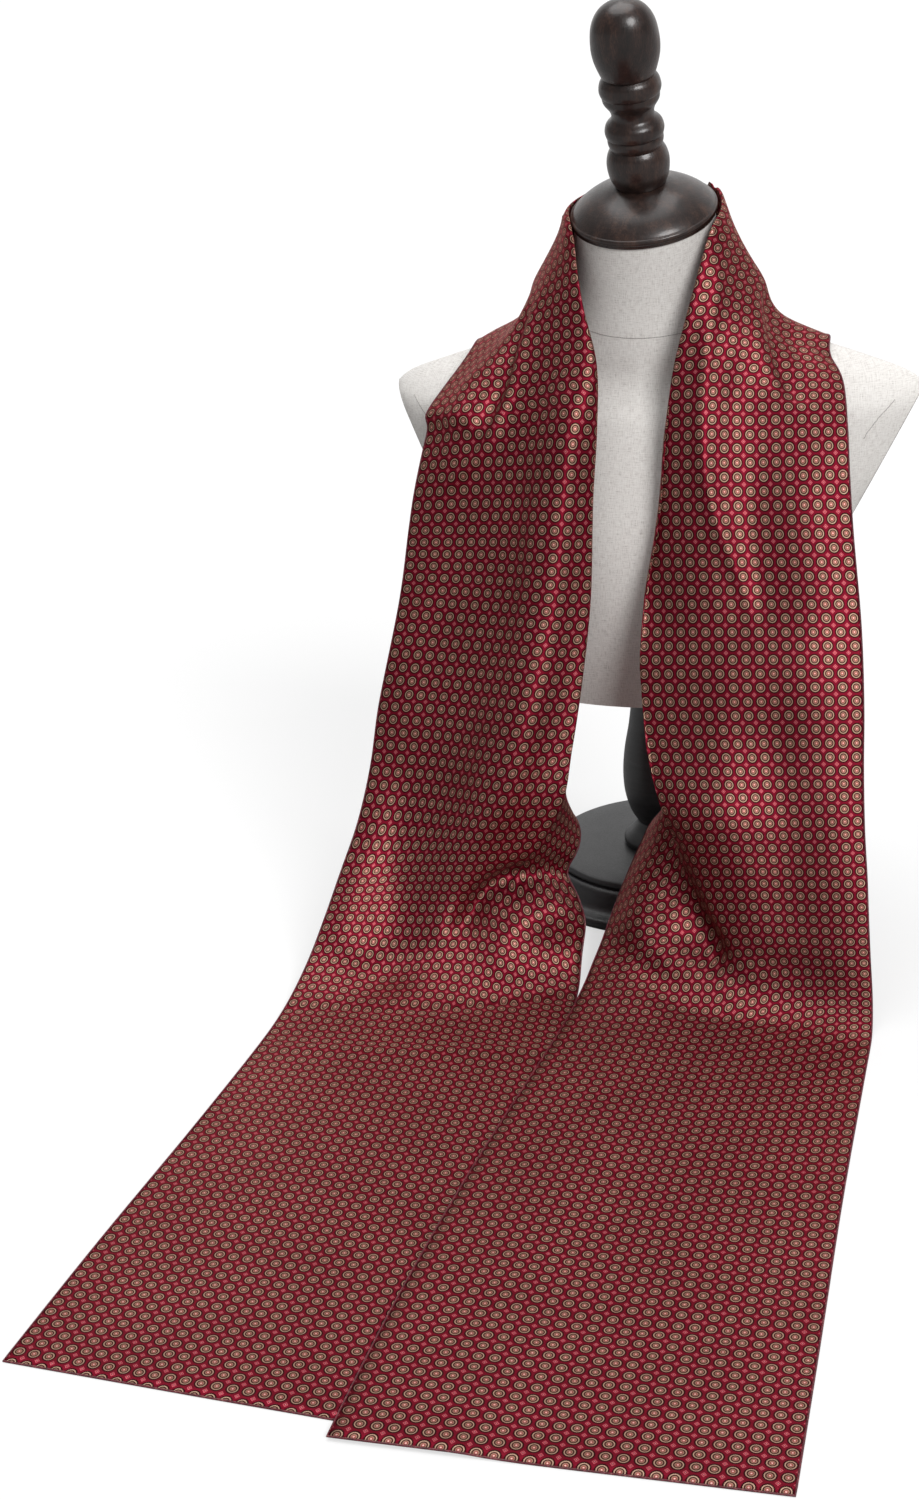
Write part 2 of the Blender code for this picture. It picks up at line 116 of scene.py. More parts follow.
class Recipe:
    """A procedural material, with short calls that add and join its nodes."""

    def __init__(self, name):
        self.material = bpy.data.materials.new(name)
        self.material.use_nodes = True
        self.tree = self.material.node_tree
        self.shader = self.tree.nodes["Principled BSDF"]

    def put(self, socket, value):
        """Set a socket, or join another node's output to it."""
        if isinstance(value, bpy.types.NodeSocket):
            self.tree.links.new(value, socket)
        else:
            socket.default_value = value

    def math(self, operation, *values):
        """The output of a Math node."""
        node = self.tree.nodes.new("ShaderNodeMath")
        node.operation = operation
        for socket, value in zip(node.inputs, values):
            self.put(socket, value)
        return node.outputs[0]

    def place(self, scale=(1, 1, 1), turn=(0, 0, 0), from_map=False):
        """Coordinates on the piece, or on its cloth map, scaled and turned."""
        if from_map:
            source = self.tree.nodes.new("ShaderNodeUVMap").outputs[0]
        else:
            source = self.tree.nodes.new("ShaderNodeTexCoord").outputs["Object"]
        mapping = self.tree.nodes.new("ShaderNodeMapping")
        self.put(mapping.inputs["Vector"], source)
        mapping.inputs["Scale"].default_value = scale
        mapping.inputs["Rotation"].default_value = turn
        return mapping.outputs[0]

    def noise(self, where, scale, detail=4.0, roughness=0.55):
        """The output of a Noise node."""
        node = self.tree.nodes.new("ShaderNodeTexNoise")
        self.put(node.inputs["Vector"], where)
        node.inputs["Scale"].default_value = scale
        node.inputs["Detail"].default_value = detail
        node.inputs["Roughness"].default_value = roughness
        return node.outputs["Fac"]

    def ramp(self, share, stops):
        """Colours, or grey levels, along a share from 0 to 1."""
        node = self.tree.nodes.new("ShaderNodeValToRGB")
        self.put(node.inputs[0], share)
        line = node.color_ramp.elements
        while len(line) < len(stops):
            line.new(1.0)
        for element, (at, colour) in zip(line, stops):
            element.position = at
            colour = (colour,) * 3 if isinstance(colour, float) else colour
            element.color = (*colour, 1.0)
        return node.outputs["Color"]

    def mix(self, share, first, second, blend="MIX"):
        """One colour over another, or multiplied by it."""
        node = self.tree.nodes.new("ShaderNodeMix")
        node.data_type = "RGBA"
        node.blend_type = blend
        self.put(node.inputs["Factor"], share)
        self.put(node.inputs["A"], first)
        self.put(node.inputs["B"], second)
        return node.outputs["Result"]

    def finish(self, **sockets):
        """Set the shader's sockets by name, with _ for a space."""
        for name, value in sockets.items():
            socket = self.shader.inputs[name.replace("_", " ")]
            if isinstance(value, tuple) and len(value) == 3:
                value = (*value, 1.0)
            self.put(socket, value)

    def bump(self, height, distance, strength=1.0):
        """Give the surface a fine relief."""
        node = self.tree.nodes.new("ShaderNodeBump")
        self.put(node.inputs["Height"], height)
        node.inputs["Distance"].default_value = distance
        node.inputs["Strength"].default_value = strength
        self.put(self.shader.inputs["Normal"], node.outputs[0])


black_paint = Recipe("black_painted_wood")
strokes = black_paint.noise(black_paint.place(scale=(30, 30, 260)), 1.0)
specks = black_paint.noise(black_paint.place(), 900.0, 2.0)
black_paint.finish(
    Base_Color=black_paint.ramp(strokes, [(0.30, (0.012, 0.012, 0.013)),
                                          (0.75, (0.026, 0.025, 0.027))]),
    Roughness=black_paint.ramp(specks, [(0.30, 0.36), (0.75, 0.52)]),
    Specular_IOR_Level=0.75)
black_paint.bump(strokes, 0.00025)
base = turned_piece("stand_base", BASE_OUTLINE, LATHE_SIDES, LEVEL, LEVEL)
finish_piece(base, black_paint.material)
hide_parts("form_base")

# Pole: one turned baluster of the same painted wood, doweled into the foot. It swells
# below the bust, narrows, and ends in a round collar on the foot.
POLE_FOOT = 0.0363
SLIM_SIDES = 96
POLE_OUTLINE = [
    (0.0, 0.1664, 0), (0.0240, 0.1664, 1), (0.0243, 0.1560, 0), (0.0250, 0.1450, 0),
    (0.0285, 0.1150, 0), (0.0330, 0.0900, 0), (0.0348, 0.0680, 0), (0.0335, 0.0490, 0),
    (0.0290, 0.0330, 0), (0.0240, 0.0240, 0), (0.0226, 0.0212, 1), (0.0232, 0.0196, 1),
    (0.0265, 0.0150, 0), (0.0318, 0.0100, 0), (0.0348, 0.0062, 0), (0.0352, 0.0028, 0),
    (0.0340, 0.0, 1), (0.0, 0.0, 1)]
pole = turned_piece("stand_pole", POLE_OUTLINE, SLIM_SIDES, (0, 0, POLE_FOOT), LEVEL)
finish_piece(pole, black_paint.material)
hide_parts("form_pole")

# Bust: a moulded body without arms or head, covered tightly with unbleached linen. It is
# an oval at every height, and each arm ends in a flat plate that is covered too.
NECK_TILT = math.radians(18.0)
NECK_LEAN = math.radians(-1.2)
NECK_TOP = Vector((-0.001, -0.0195, 0.597))
PLATE_MIDDLE = Vector((0.196, 0.0, 0.405))
PLATE_LEAN = math.radians(28.0)
BUST_SIDES = 144
BUST_STEPS = 6
# Each ring: height, centre y, half width, half depth, squareness, forward tilt in degrees
BUST_RINGS = [
    (0.203, -0.005, 0.130, 0.099, 2.30, 0.0), (0.250, -0.005, 0.141, 0.107, 2.30, 0.0),
    (0.300, -0.005, 0.152, 0.112, 2.30, 0.0), (0.345, -0.003, 0.172, 0.112, 2.15, 0.0),
    (0.385, 0.000, 0.200, 0.107, 1.95, 0.0), (0.418, 0.001, 0.218, 0.099, 1.75, 0.0),
    (0.442, 0.002, 0.227, 0.091, 1.65, 0.0), (0.456, 0.003, 0.224, 0.083, 1.55, 1.0),
    (0.467, 0.003, 0.209, 0.077, 1.45, 2.0), (0.478, 0.002, 0.178, 0.073, 1.45, 4.0),
    (0.489, -0.001, 0.144, 0.069, 1.50, 6.0), (0.503, -0.004, 0.108, 0.066, 1.70, 9.0),
    (0.522, -0.007, 0.077, 0.063, 1.90, 12.0), (0.548, -0.010, 0.064, 0.060, 2.00, 15.0),
    (0.575, -0.015, 0.059, 0.058, 2.00, 17.0), (0.597, -0.0195, 0.0575, 0.0575, 2.00, 18.0)]


def between(table, at):
    """A smooth row of numbers at a fractional row number of a table."""
    last = len(table) - 1
    index = min(int(math.floor(at)), last - 1)
    part = at - index
    before = table[max(index - 1, 0)]
    start, end = table[index], table[index + 1]
    after = table[min(index + 2, last)]
    square, cube = part * part, part ** 3
    return ((2 * cube - 3 * square + 1) * start + (cube - 2 * square + part) * (end - before) / 2
            + (3 * square - 2 * cube) * end + (cube - square) * (after - start) / 2)


def bust_ring(ring):
    """Points round the bust at one height, from the middle of the back round to it again."""
    height, centre_y, half_width, half_depth, squareness, tilt = ring
    share = math.radians(tilt) / NECK_TILT
    turn = Euler((math.radians(tilt), NECK_LEAN * share, 0.0)).to_matrix()
    centre = Vector((NECK_TOP.x * share, centre_y, height))
    points = []
    for side in range(BUST_SIDES + 1):
        angle = math.pi / 2 + 2.0 * math.pi * side / BUST_SIDES
        cosine, sine = math.cos(angle), math.sin(angle)
        across = math.copysign(abs(cosine) ** (2.0 / squareness), cosine) * half_width
        deep = math.copysign(abs(sine) ** (2.0 / squareness), sine) * half_depth
        points.append(np.array(centre + turn @ Vector((across, deep, 0.0))))
    return np.array(points)


def cloth_grid(name, points, cloth_map):
    """A grid of cloth bent through rows of points, with its flat cut as its map."""
    rows, columns = points.shape[:2]
    bpy.ops.object.select_all(action="DESELECT")
    bpy.ops.mesh.primitive_grid_add(x_subdivisions=columns - 1, y_subdivisions=rows - 1, size=1.0)
    item = bpy.context.active_object
    item.name = name
    item.data.name = name
    item.data.vertices.foreach_set("co", points.reshape(-1))
    corners = np.empty(len(item.data.loops), dtype=np.int32)
    item.data.loops.foreach_get("vertex_index", corners)
    item.data.uv_layers.active.data.foreach_set("uv", cloth_map.reshape(-1, 2)[corners].reshape(-1))
    item.data.update()
    return item


bust_table = [np.array(ring) for ring in BUST_RINGS]
bust_rows = (len(bust_table) - 1) * BUST_STEPS + 1
bust_points = np.array([bust_ring(between(bust_table, row / BUST_STEPS)) for row in range(bust_rows)])
round_steps = np.linalg.norm(np.diff(bust_points, axis=1), axis=2)
round_length = np.concatenate([np.zeros((bust_rows, 1)), np.cumsum(round_steps, axis=1)], axis=1)
up_steps = np.linalg.norm(np.diff(bust_points[:, BUST_SIDES // 2], axis=0), axis=1)
up_length = np.concatenate([[0.0], np.cumsum(up_steps)])
bust_map = np.stack([round_length - round_length[:, -1:] / 2,
                     np.repeat(up_length[:, None], BUST_SIDES + 1, axis=1)], axis=2)
bust = cloth_grid("linen_bust", bust_points, bust_map)
shape = bmesh.new()
shape.from_mesh(bust.data)
bmesh.ops.remove_doubles(shape, verts=shape.verts, dist=MERGE_WITHIN)
bmesh.ops.holes_fill(shape, edges=[edge for edge in shape.edges if edge.is_boundary])
plate_rims = []
for side in (1.0, -1.0):
    outward = Vector((side * math.cos(PLATE_LEAN), 0.0, -math.sin(PLATE_LEAN)))
    middle = Vector((side * PLATE_MIDDLE.x, 0.0, PLATE_MIDDLE.z))
    everything = shape.verts[:] + shape.edges[:] + shape.faces[:]
    bmesh.ops.bisect_plane(shape, geom=everything, plane_co=middle, plane_no=outward,
                           clear_outer=True, dist=MERGE_WITHIN)
    rim = [edge for edge in shape.edges if edge.is_boundary]
    filled = bmesh.ops.holes_fill(shape, edges=rim)["faces"]
    cloth_map = shape.loops.layers.uv.active
    for face in filled:
        plate_rims.append([corner.vert.co.copy() for corner in face.loops])
        for corner in face.loops:
            corner[cloth_map].uv = (corner.vert.co.y, corner.vert.co.z)
bmesh.ops.recalc_face_normals(shape, faces=shape.faces)
bust_tree = BVHTree.FromBMesh(shape)
shape.to_mesh(bust.data)
shape.free()

# Linen: a plain weave of uneven threads, pale grey, with darker slubs both ways
THREAD_PITCH = 0.0009
THREAD_TURNS = 2 * math.pi / THREAD_PITCH
linen = Recipe("grey_linen")
weave_map = linen.place(from_map=True)
spread = linen.tree.nodes.new("ShaderNodeSeparateXYZ")
linen.put(spread.inputs[0], weave_map)
wander = linen.math("MULTIPLY", linen.noise(weave_map, 160.0, 2.0), 1.2)
warp, weft = [
    linen.math("SINE", linen.math("ADD", linen.math("MULTIPLY", distance, THREAD_TURNS), wander))
    for distance in spread.outputs[:2]]
weave = linen.math("MULTIPLY", warp, weft)
slubs = linen.noise(linen.place(scale=(150, 1500, 1), from_map=True), 1.0, 3.0, 0.6)
upright_slubs = linen.noise(linen.place(scale=(1500, 150, 1), from_map=True), 1.0, 3.0, 0.6)
threads = linen.math("MULTIPLY", linen.math("ADD", slubs, upright_slubs), 0.5)
tone = linen.math("ADD", threads, linen.math("MULTIPLY", weave, 0.09))
linen.finish(
    Base_Color=linen.ramp(tone, [(0.30, (0.34, 0.31, 0.29)), (0.42, (0.64, 0.61, 0.58)),
                                 (0.60, (0.78, 0.76, 0.73))]),
    Roughness=0.92, Sheen_Weight=0.15, Sheen_Roughness=0.5)
linen.bump(tone, 0.0004, 0.6)
finish_piece(bust, linen.material, 40.0)
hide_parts("form_bust")

# Bust seams: where the linen's panels are sewn round the neck's foot, along a dart on each
# shoulder and round each arm plate. The stitched line stands just proud, and its darker colour
# is painted shade of the seam's groove.
SEAM_RADIUS = 0.0003
NECK_SEAM_MIDDLE = (0.0, -0.008, 0.534)
NECK_SEAM_HALF_WIDTH = 0.075
NECK_SEAM_HALF_DEPTH = 0.072
NECK_SEAM_TILT = math.radians(20.0)
NECK_SEAM_POINTS = 120
SHOULDER_DARTS = [(-0.205, -0.030, 0.452), (-0.196, -0.048, 0.438), (-0.192, -0.066, 0.424)]


def seam_line(name, places, closed):
    """A thin stitched line laid on the bust through the given places."""
    curve = bpy.data.curves.new(name, "CURVE")
    curve.dimensions = "3D"
    curve.bevel_depth = SEAM_RADIUS
    curve.bevel_resolution = 2
    curve.use_fill_caps = True
    line = curve.splines.new("POLY")
    line.points.add(len(places) - 1)
    for point, place in zip(line.points, places):
        spot = bust_tree.find_nearest(Vector(place))[0]
        point.co = (*spot, 1.0)
    line.use_cyclic_u = closed
    item = bpy.data.objects.new(name, curve)
    bpy.context.scene.collection.objects.link(item)
    bpy.ops.object.select_all(action="DESELECT")
    item.select_set(True)
    bpy.context.view_layer.objects.active = item
    bpy.ops.object.convert(target="MESH")
    return bpy.context.active_object


def shaped_line(places, count=24):
    """Many places along a soft curve through a few."""
    table = [np.array(place) for place in places]
    return [between(table, (len(table) - 1) * step / count) for step in range(count + 1)]


# Darker linen for the seam lines, with stitch-like flecks: painted shade of the groove along each seam
seam_shade_linen = Recipe("linen_seam")
stitches = seam_shade_linen.noise(seam_shade_linen.place(), 1400.0, 2.0)
seam_shade_linen.finish(
    Base_Color=seam_shade_linen.ramp(stitches, [(0.35, (0.24, 0.22, 0.21)), (0.65, (0.46, 0.43, 0.41))]),
    Roughness=0.9)
seam_shade_linen.bump(stitches, 0.0003)
neck_ring = []
for step in range(NECK_SEAM_POINTS):
    angle = 2 * math.pi * step / NECK_SEAM_POINTS
    depth = NECK_SEAM_HALF_DEPTH * math.sin(angle)
    neck_ring.append((NECK_SEAM_HALF_WIDTH * math.cos(angle), NECK_SEAM_MIDDLE[1] + depth,
                      NECK_SEAM_MIDDLE[2] + depth * math.tan(NECK_SEAM_TILT)))
seams = [seam_line("neck_seam", neck_ring, True)]
for side, name in ((1.0, "left_dart"), (-1.0, "right_dart")):
    places = [(-side * x, y, z) for x, y, z in shaped_line(SHOULDER_DARTS)]
    seams.append(seam_line(name, places, False))
for rim, name in zip(plate_rims, ("left_plate_seam", "right_plate_seam")):
    seams.append(seam_line(name, rim, True))
for seam in seams:
    finish_piece(seam, seam_shade_linen.material, 60.0)

# Neck cap: a low dome of turned hardwood with a rolled edge, stained dark brown and
# varnished to a satin gloss. It closes the neck and follows its forward tilt.
TOUCH = 0.0003
CAP_TOP = 0.0290
neck_turn = Euler((NECK_TILT, NECK_LEAN, 0.0))
neck_axis = neck_turn.to_matrix() @ Vector((0.0, 0.0, 1.0))
CAP_OUTLINE = [
    (0.0, 0.0290, 0), (0.0205, 0.0290, 1), (0.0235, 0.0280, 0), (0.0300, 0.0252, 0),
    (0.0390, 0.0215, 0), (0.0480, 0.0163, 0), (0.0545, 0.0113, 0), (0.0580, 0.0075, 1),
    (0.0594, 0.0066, 0), (0.0600, 0.0050, 0), (0.0597, 0.0034, 0), (0.0586, 0.0024, 1),
    (0.0585, 0.0, 1), (0.0, 0.0, 1)]
# Stained wood: long figure and short pores along the grain, with fine rings left by the lathe
UPRIGHT = (-NECK_TILT, -NECK_LEAN, 0.0)
stained_wood = Recipe("dark_brown_wood")
figure = stained_wood.noise(stained_wood.place(scale=(1, 1, 0.12), turn=UPRIGHT), 95.0, 6.0, 0.65)
pores = stained_wood.noise(stained_wood.place(scale=(1, 1, 0.25), turn=(-NECK_TILT, 0.0, 0.0)),
                           900.0, 3.0, 0.7)
lathe = stained_wood.noise(stained_wood.place(scale=(6, 6, 700), turn=UPRIGHT), 1.0, 2.0)
grain = stained_wood.math("ADD", stained_wood.math("MULTIPLY", figure, 0.62),
                          stained_wood.math("MULTIPLY", pores, 0.38))
stained_wood.finish(
    Base_Color=stained_wood.ramp(grain, [(0.36, (0.007, 0.004, 0.003)), (0.50, (0.020, 0.010, 0.008)),
                                         (0.66, (0.060, 0.030, 0.020))]),
    Roughness=stained_wood.ramp(pores, [(0.35, 0.30), (0.70, 0.46)]),
    Specular_IOR_Level=0.35, Coat_Weight=0.45, Coat_Roughness=0.20)
stained_wood.bump(stained_wood.math("ADD", pores, stained_wood.math("MULTIPLY", lathe, 0.6)), 0.00018)
cap_foot = NECK_TOP + neck_axis * TOUCH
cap = turned_piece("neck_cap", CAP_OUTLINE, LATHE_SIDES, cap_foot, neck_turn)
finish_piece(cap, stained_wood.material)
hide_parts("form_neck_cap")

# Finial: a turned handle of the same stained wood, screwed into the cap. From the top it
# has an egg-shaped knob, a double bead, a waist, a flat bead and a round foot.
FINIAL_OUTLINE = [
    (0.0, 0.1500, 0), (0.0110, 0.1478, 0), (0.0195, 0.1420, 0), (0.0250, 0.1320, 0),
    (0.0270, 0.1180, 0), (0.0262, 0.1060, 0), (0.0225, 0.0940, 0), (0.0205, 0.0900, 1),
    (0.0226, 0.0878, 0), (0.0240, 0.0848, 0), (0.0247, 0.0800, 0), (0.0240, 0.0768, 1),
    (0.0232, 0.0758, 0), (0.0230, 0.0738, 0), (0.0222, 0.0700, 0), (0.0186, 0.0648, 1),
    (0.0170, 0.0600, 0), (0.0178, 0.0560, 0), (0.0222, 0.0515, 0), (0.0237, 0.0462, 0),
    (0.0230, 0.0420, 1), (0.0218, 0.0408, 1), (0.0224, 0.0385, 0), (0.0220, 0.0350, 0),
    (0.0205, 0.0315, 1), (0.0232, 0.0275, 0), (0.0250, 0.0210, 0), (0.0250, 0.0140, 0),
    (0.0236, 0.0065, 0), (0.0205, 0.0, 1), (0.0, 0.0, 1)]
finial_foot = cap_foot + neck_axis * (CAP_TOP + TOUCH)
finial = turned_piece("finial", FINIAL_OUTLINE, SLIM_SIDES, finial_foot, neck_turn)
finish_piece(finial, stained_wood.material)
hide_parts("form_finial")

# Scarf: one long rectangle of printed silk twill. Round the neck it is folded lengthwise
# about in half. Below the chest it opens out and lies flat, the right end over the left.
SCARF_WIDTH = 0.280
CLOTH = 0.0012
LAYER_STEP = 0.0036
OFF_FORM = 0.0013
FOLD_EASE = 0.0027
EDGE_PULL = 0.02
SLOPE_REACH = 0.25
OUTER_STRIPS = 8
UNDER_STRIPS = 6
OVERLAP_FULL = 0.030
OVERLAP_GONE = 0.055
OVERLAP_RISE = 0.0021
# Each section: name, fold, outer hem, inner hem once it is open, bow of the outer layer, bow
# of the inner layer, how far it is folded shut, and how far the outer and the inner hem run
# ahead of the fold along the cloth.
NAPE = ("nape", (0.0, 0.049, 0.615), (0.0, 0.083, 0.479), None, -0.009, 0.0, 1.0, 0.0, 0.0)
RIGHT_SECTIONS = [
    NAPE,
    ("neck back", (0.046, 0.030, 0.612), (0.094, 0.063, 0.480), None, -0.010, 0.0, 1.0, 0.045, 0.03),
    ("neck side", (0.064, -0.016, 0.604), (0.138, 0.022, 0.488), None, -0.008, 0.0, 1.0, 0.072, 0.05),
    ("neck front", (0.059, -0.052, 0.586), (0.147, -0.016, 0.485), None, -0.008, 0.0, 1.0, 0.070, 0.05),
    ("collar line", (0.050, -0.080, 0.544), (0.163, -0.052, 0.472), None, -0.006, 0.0, 1.0, 0.060, 0.05),
    ("shoulder", (0.038, -0.098, 0.493), (0.171, -0.086, 0.444), None, 0.002, 0.0, 1.0, 0.052, 0.04),
    ("upper chest", (0.029, -0.115, 0.444), (0.176, -0.110, 0.405), None, 0.006, 0.0, 1.0, 0.044, 0.03),
    ("chest", (0.024, -0.126, 0.390), (0.181, -0.127, 0.365), None, 0.008, 0.0, 1.0, 0.031, 0.02),
    ("lower chest", (0.014, -0.143, 0.311), (0.190, -0.148, 0.298), None, 0.009, 0.0, 1.0, 0.021, 0.01),
    ("bust hem", (0.018, -0.165, 0.243), (0.195, -0.168, 0.239), (0.130, -0.155, 0.245),
     0.010, 0.0, 0.9, 0.014, 0.0),
    ("opening", (0.023, -0.182, 0.193), (0.197, -0.183, 0.190), (0.080, -0.135, 0.180),
     0.010, -0.004, 0.3, 0.013, -0.02),
    ("flap shows", (0.035, -0.193, 0.152), (0.200, -0.198, 0.145), (0.019, -0.115, 0.113),
     0.011, -0.004, 0.0, 0.022, -0.027),
    ("flap swings", (0.044, -0.190, 0.123), (0.204, -0.212, 0.108), (0.004, -0.120, 0.086),
     0.012, 0.002, 0.0, 0.037, -0.025),
    ("over the base", (0.054, -0.190, 0.092), (0.207, -0.226, 0.076), (-0.010, -0.135, 0.052),
     0.013, 0.008, 0.0, 0.046, -0.018),
    ("nearing the table", (0.062, -0.197, 0.064), (0.210, -0.238, 0.047),
     (-0.018, -0.170, 0.026), 0.014, 0.012, 0.0, 0.057, -0.003),
    ("valley foot", (0.071, -0.212, 0.036), (0.213, -0.250, 0.020), (-0.022, -0.204, 0.012),
     0.010, 0.010, 0.0, 0.065, 0.0),
    ("landing", (0.088, -0.250, 0.010), (0.215, -0.275, 0.001), (-0.024, -0.244, 0.005),
     0.004, 0.004, 0.0, 0.068, -0.008),
    ("flat", (0.096, -0.320, 0.0), (0.216, -0.335, 0.0), (-0.029, -0.330, 0.0),
     0.0, 0.0, 0.0, 0.045, 0.006),
    ("lying", (0.098, -0.500, 0.0), (0.219, -0.505, 0.0), (-0.043, -0.505, 0.0),
     0.0, 0.0, 0.0, 0.015, 0.002),
    ("near the end", (0.100, -0.670, 0.0), (0.224, -0.667, 0.0), (-0.051, -0.672, 0.0),
     0.0, 0.0, 0.0, 0.002, 0.0),
    ("end", (0.102, -0.816, 0.0), (0.228, -0.813, 0.0), (-0.052, -0.819, 0.0),
     0.0, 0.0, 0.0, 0.0, 0.0)]
LEFT_SECTIONS = [
    NAPE,
    ("neck back", (-0.046, 0.030, 0.612), (-0.094, 0.063, 0.480), None, -0.010, 0.0, 1.0, 0.045, 0.03),
    ("neck side", (-0.064, -0.016, 0.604), (-0.145, 0.022, 0.487), None, -0.007, 0.0, 1.0, 0.070, 0.05),
    ("neck front", (-0.055, -0.052, 0.592), (-0.152, -0.014, 0.484), None, -0.007, 0.0, 1.0, 0.066, 0.05),
    ("collar line", (-0.045, -0.080, 0.549), (-0.170, -0.050, 0.459), None, -0.004, 0.0, 1.0, 0.060, 0.04),
    ("shoulder", (-0.032, -0.098, 0.496), (-0.1745, -0.075, 0.4395), None, 0.003, 0.0, 1.0, 0.038, 0.03),
    ("upper chest", (-0.028, -0.114, 0.443), (-0.182, -0.098, 0.3965), None, 0.006, 0.0, 1.0, 0.034, 0.02),
    ("chest", (-0.030, -0.125, 0.388), (-0.1885, -0.107, 0.3585), None, 0.008, 0.0, 1.0, 0.018, 0.01),
    ("lower chest", (-0.031, -0.141, 0.309), (-0.1965, -0.123, 0.297), None, 0.009, 0.0, 1.0, 0.010, 0.0),
    ("bust hem", (-0.036, -0.163, 0.239), (-0.2125, -0.1455, 0.215), (-0.150, -0.155, 0.235),
     0.010, 0.0, 0.9, 0.022, 0.0),
    ("opening", (-0.040, -0.178, 0.192), (-0.2205, -0.1615, 0.1625), (-0.100, -0.135, 0.182),
     0.010, -0.004, 0.3, 0.028, -0.01),
    ("flap shows", (-0.046, -0.189, 0.152), (-0.229, -0.180, 0.117), (-0.049, -0.135, 0.115),
     0.010, -0.004, 0.0, 0.032, -0.004),
    ("flap swings", (-0.072, -0.193, 0.105), (-0.2385, -0.204, 0.081), (-0.041, -0.165, 0.086),
     0.010, 0.004, 0.0, 0.016, -0.012),
    ("valley foot", (-0.098, -0.203, 0.062), (-0.2475, -0.2265, 0.048), (-0.037, -0.182, 0.038),
     0.008, 0.012, 0.0, 0.020, -0.014),
    ("landing", (-0.120, -0.232, 0.022), (-0.256, -0.255, 0.018), (-0.032, -0.208, 0.010),
     0.005, 0.010, 0.0, 0.014, -0.030),
    ("flat", (-0.131, -0.285, 0.003), (-0.259, -0.305, 0.003), (-0.028, -0.240, 0.0),
     0.0, 0.0, 0.0, 0.015, -0.050),
    ("lying back", (-0.135, -0.355, 0.0), (-0.260, -0.370, 0.0), (-0.017, -0.335, 0.0),
     0.0, 0.0, 0.0, 0.012, -0.028),
    ("lying", (-0.138, -0.500, 0.0), (-0.266, -0.500, 0.0), (-0.007, -0.500, 0.0),
     0.0, 0.0, 0.0, 0.008, -0.008),
    ("near the end", (-0.141, -0.655, 0.0), (-0.275, -0.650, 0.0), (-0.003, -0.662, 0.0),
     0.0, 0.0, 0.0, 0.003, -0.001),
    ("end", (-0.142, -0.796, 0.0), (-0.281, -0.7875, 0.0), (-0.001, -0.804, 0.0),
     0.0, 0.0, 0.0, 0.0, 0.0)]
# Largest folds: side, first section, share of the way from hem to fold there, last section,
# share there, height out of the cloth, width as a share
FOLDS = [
    (1, 0.3, 0.30, 5.0, 0.30, -0.012, 0.12),
    (1, 3.2, 0.86, 7.6, 0.68, 0.005, 0.13),
    (1, 8.0, 0.60, 14.0, 0.72, 0.006, 0.20),
    (-1, 0.3, 0.30, 4.4, 0.36, -0.012, 0.12),
    (-1, 2.6, 0.42, 7.0, 0.15, 0.007, 0.13),
    (-1, 4.2, 0.93, 13.0, 0.56, 0.012, 0.16),
    (-1, 9.0, 0.33, 15.0, 0.55, -0.010, 0.22)]
FINE_STEP = 0.0032
FLAT_STEP = 0.012
FLAT_BELOW = 0.004
OUTER_COLUMNS = 50
ROLL_COLUMNS = 6
INNER_COLUMNS = 14
CREST = OUTER_COLUMNS + ROLL_COLUMNS // 2
UNDER_ROOM = 0.0012
EASE_REACH = 0.060
# The cloth is softened more near the neck and, by a share, from the bust's hem down
NECK_REACH = 0.24
FOOT_START = 0.54
FOOT_SHARE = 0.6
SOFT_FADE = 0.08
SOFT_PASSES = 6
